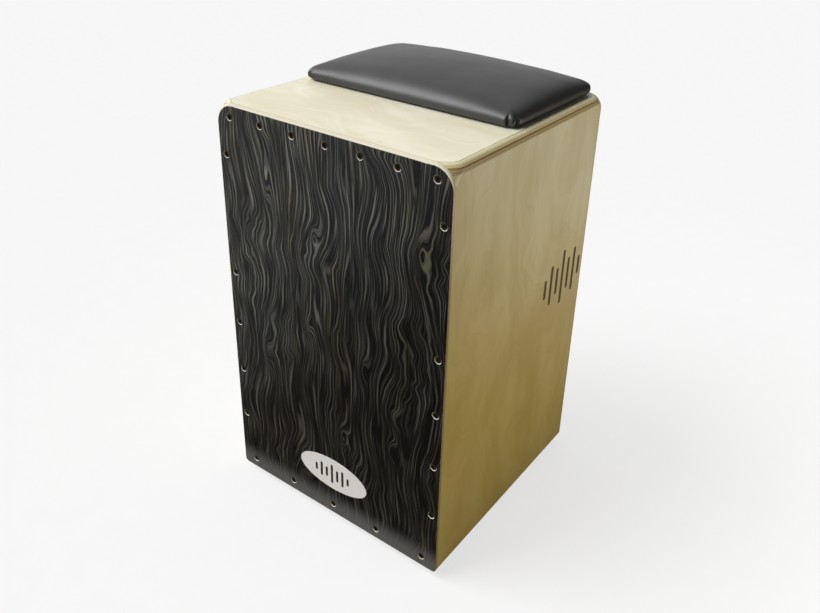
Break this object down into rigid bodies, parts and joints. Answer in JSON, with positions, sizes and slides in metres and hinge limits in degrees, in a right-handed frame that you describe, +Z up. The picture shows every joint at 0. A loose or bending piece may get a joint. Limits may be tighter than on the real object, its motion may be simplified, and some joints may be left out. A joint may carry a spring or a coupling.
{
  "type": "cajon",
  "caption": "Plywood box drum with a dark veneered front plate held by screws, a round sound hole at the back, snare wires inside, rubber feet and a padded leatherette seat cushion on top.",
  "frame": {"origin": "centre of the bounding box's bottom, on the floor under the middle of the box", "axes": "+Z up, the front plate faces -Y, the sound hole faces +Y, +X is to the right of someone looking at the front plate"},
  "size_m": [0.3, 0.2976, 0.5205],
  "materials": {
    "birch_ply": "satin",
    "veneered_front": "satin",
    "batten_wood": "matte",
    "zinc_steel": "satin",
    "snare_steel": "polished",
    "foot_rubber": "matte",
    "badge_print": "gloss",
    "hook_and_loop": "matte",
    "pad_board_ply": "matte",
    "pad_foam": "matte",
    "pad_leatherette": "satin",
    "staple_steel": "satin"
  },
  "bodies": {
    "box": {"top_panel": "birch_ply", "bottom_panel": "birch_ply", "left_side_panel": "birch_ply", "right_side_panel": "birch_ply", "back_panel": "birch_ply", "front_plate": "veneered_front", "front_batten_top": "batten_wood", "front_batten_bottom": "batten_wood", "front_batten_left": "batten_wood", "front_batten_right": "batten_wood", "front_plate_screws": "zinc_steel", "front_badge": "badge_print", "snare_rail": "batten_wood", "snare_rail_screws": "zinc_steel", "snare_plate_left": "snare_steel", "snare_plate_right": "snare_steel", "snare_plate_screws": "zinc_steel", "snare_wires_left": "snare_steel", "snare_wires_right": "snare_steel", "foot_front_left": "foot_rubber", "foot_front_right": "foot_rubber", "foot_back_left": "foot_rubber", "foot_back_right": "foot_rubber", "foot_washers": "zinc_steel", "foot_screws": "zinc_steel", "seat_hook_strips": "hook_and_loop"},
    "seat_pad": {"pad_loop_strips": "hook_and_loop", "pad_board": "pad_board_ply", "pad_foam": "pad_foam", "pad_cover": "pad_leatherette", "pad_staples": "staple_steel"}
  },
  "joints": [
    {"name": "pad_lift", "type": "slide", "parent": "box", "child": "seat_pad", "axis": [0, 0, 1], "range_m": [0, 0.08]}
  ]
}
